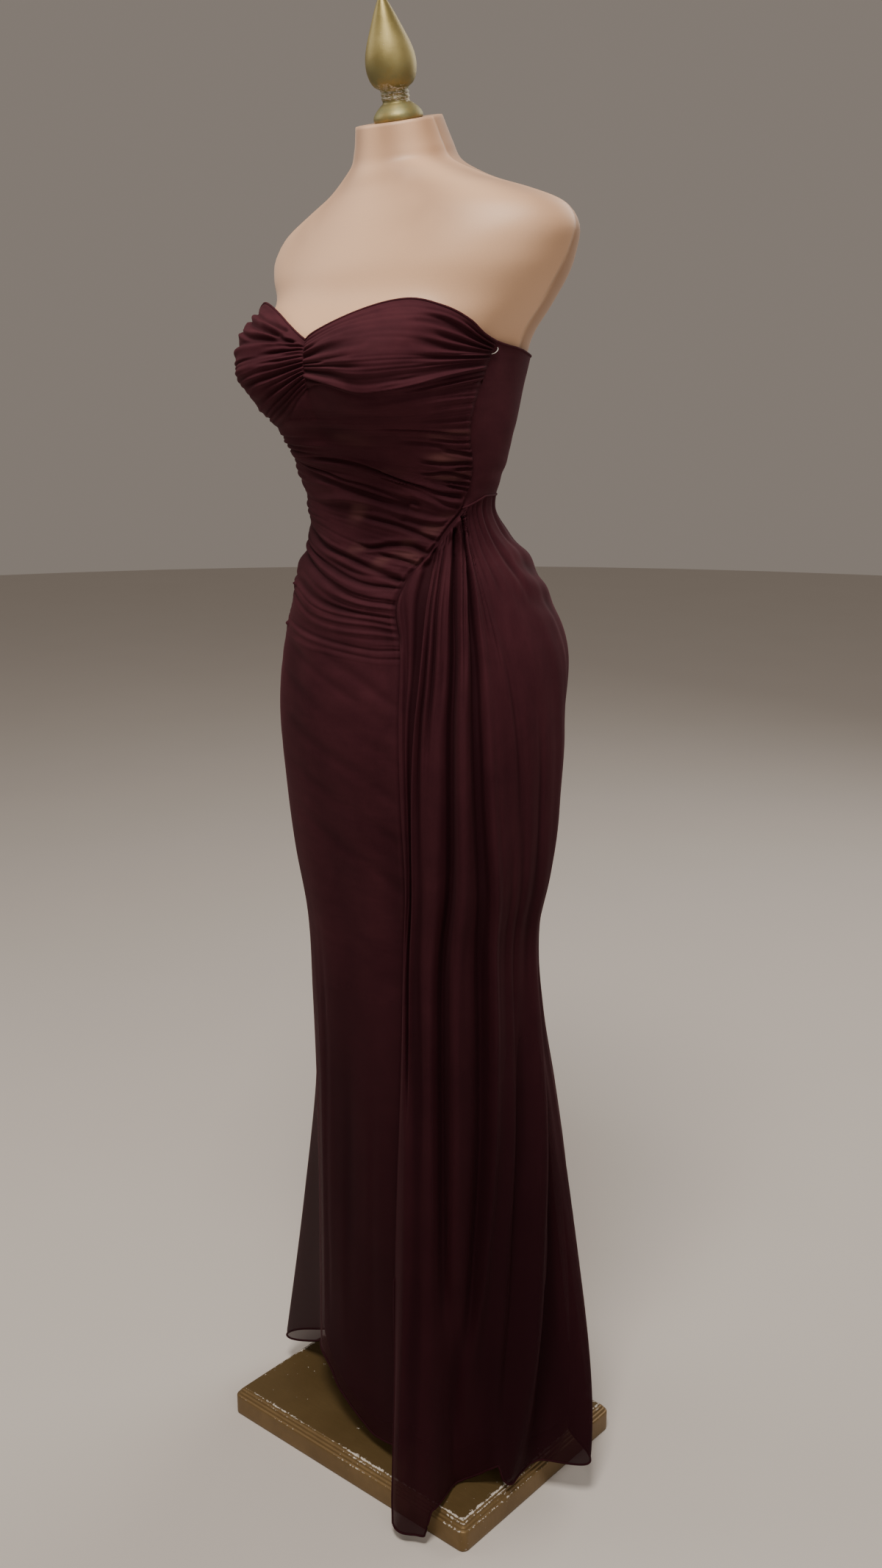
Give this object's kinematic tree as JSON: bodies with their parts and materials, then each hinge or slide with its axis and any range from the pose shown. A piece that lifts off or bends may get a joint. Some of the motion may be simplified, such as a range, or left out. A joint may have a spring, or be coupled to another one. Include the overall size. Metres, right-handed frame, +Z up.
{
  "type": "strapless gown on dress form",
  "caption": "Floor-length strapless chiffon gown with gathered sweetheart cups, ruched midriff and a draped left skirt, on a limbless dress form with pole, plinth and finial.",
  "frame": {"origin": "centre of the plinth's underside, on the floor", "axes": "+Z up; the gown's front faces -Y; +X is the wearer's left, where the skirt's drape hangs"},
  "size_m": [0.482, 0.4024, 1.7195],
  "materials": {
    "chiffon": "dark wine chiffon, matte with a soft sheen, sheer where it hangs free",
    "lining": "dark wine opaque lining, matte",
    "jersey": "pale peach jersey stretched over the form, matte",
    "gilt_wood": "bronze-gold paint, chipped to white ground on the mouldings",
    "gilt_finial": "gold paint with a soft shine, worn on its ribbed waist",
    "steel": "satin",
    "zip_metal": "enamelled to match the cloth"
  },
  "bodies": {
    "gown_and_form": {"plinth": "gilt_wood", "stand_pole": "steel", "form_torso": "jersey", "finial": "gilt_finial", "cup_right": "chiffon", "cup_left": "chiffon", "front_panel": "chiffon", "bodice_left": "chiffon", "bodice_right": "chiffon", "skirt_left": "chiffon", "skirt_back_right": "chiffon", "lining_front": "lining", "lining_back": "lining", "zip_slider": "zip_metal"},
    "pull": {"zip_pull": "zip_metal"}
  },
  "joints": [
    {"name": "zip_pull_hinge", "type": "hinge", "parent": "gown_and_form", "child": "pull", "pos_m": [0, 0.08718, 1.34826], "axis": [1, 0, 0], "range_deg": [-3, 140]}
  ]
}
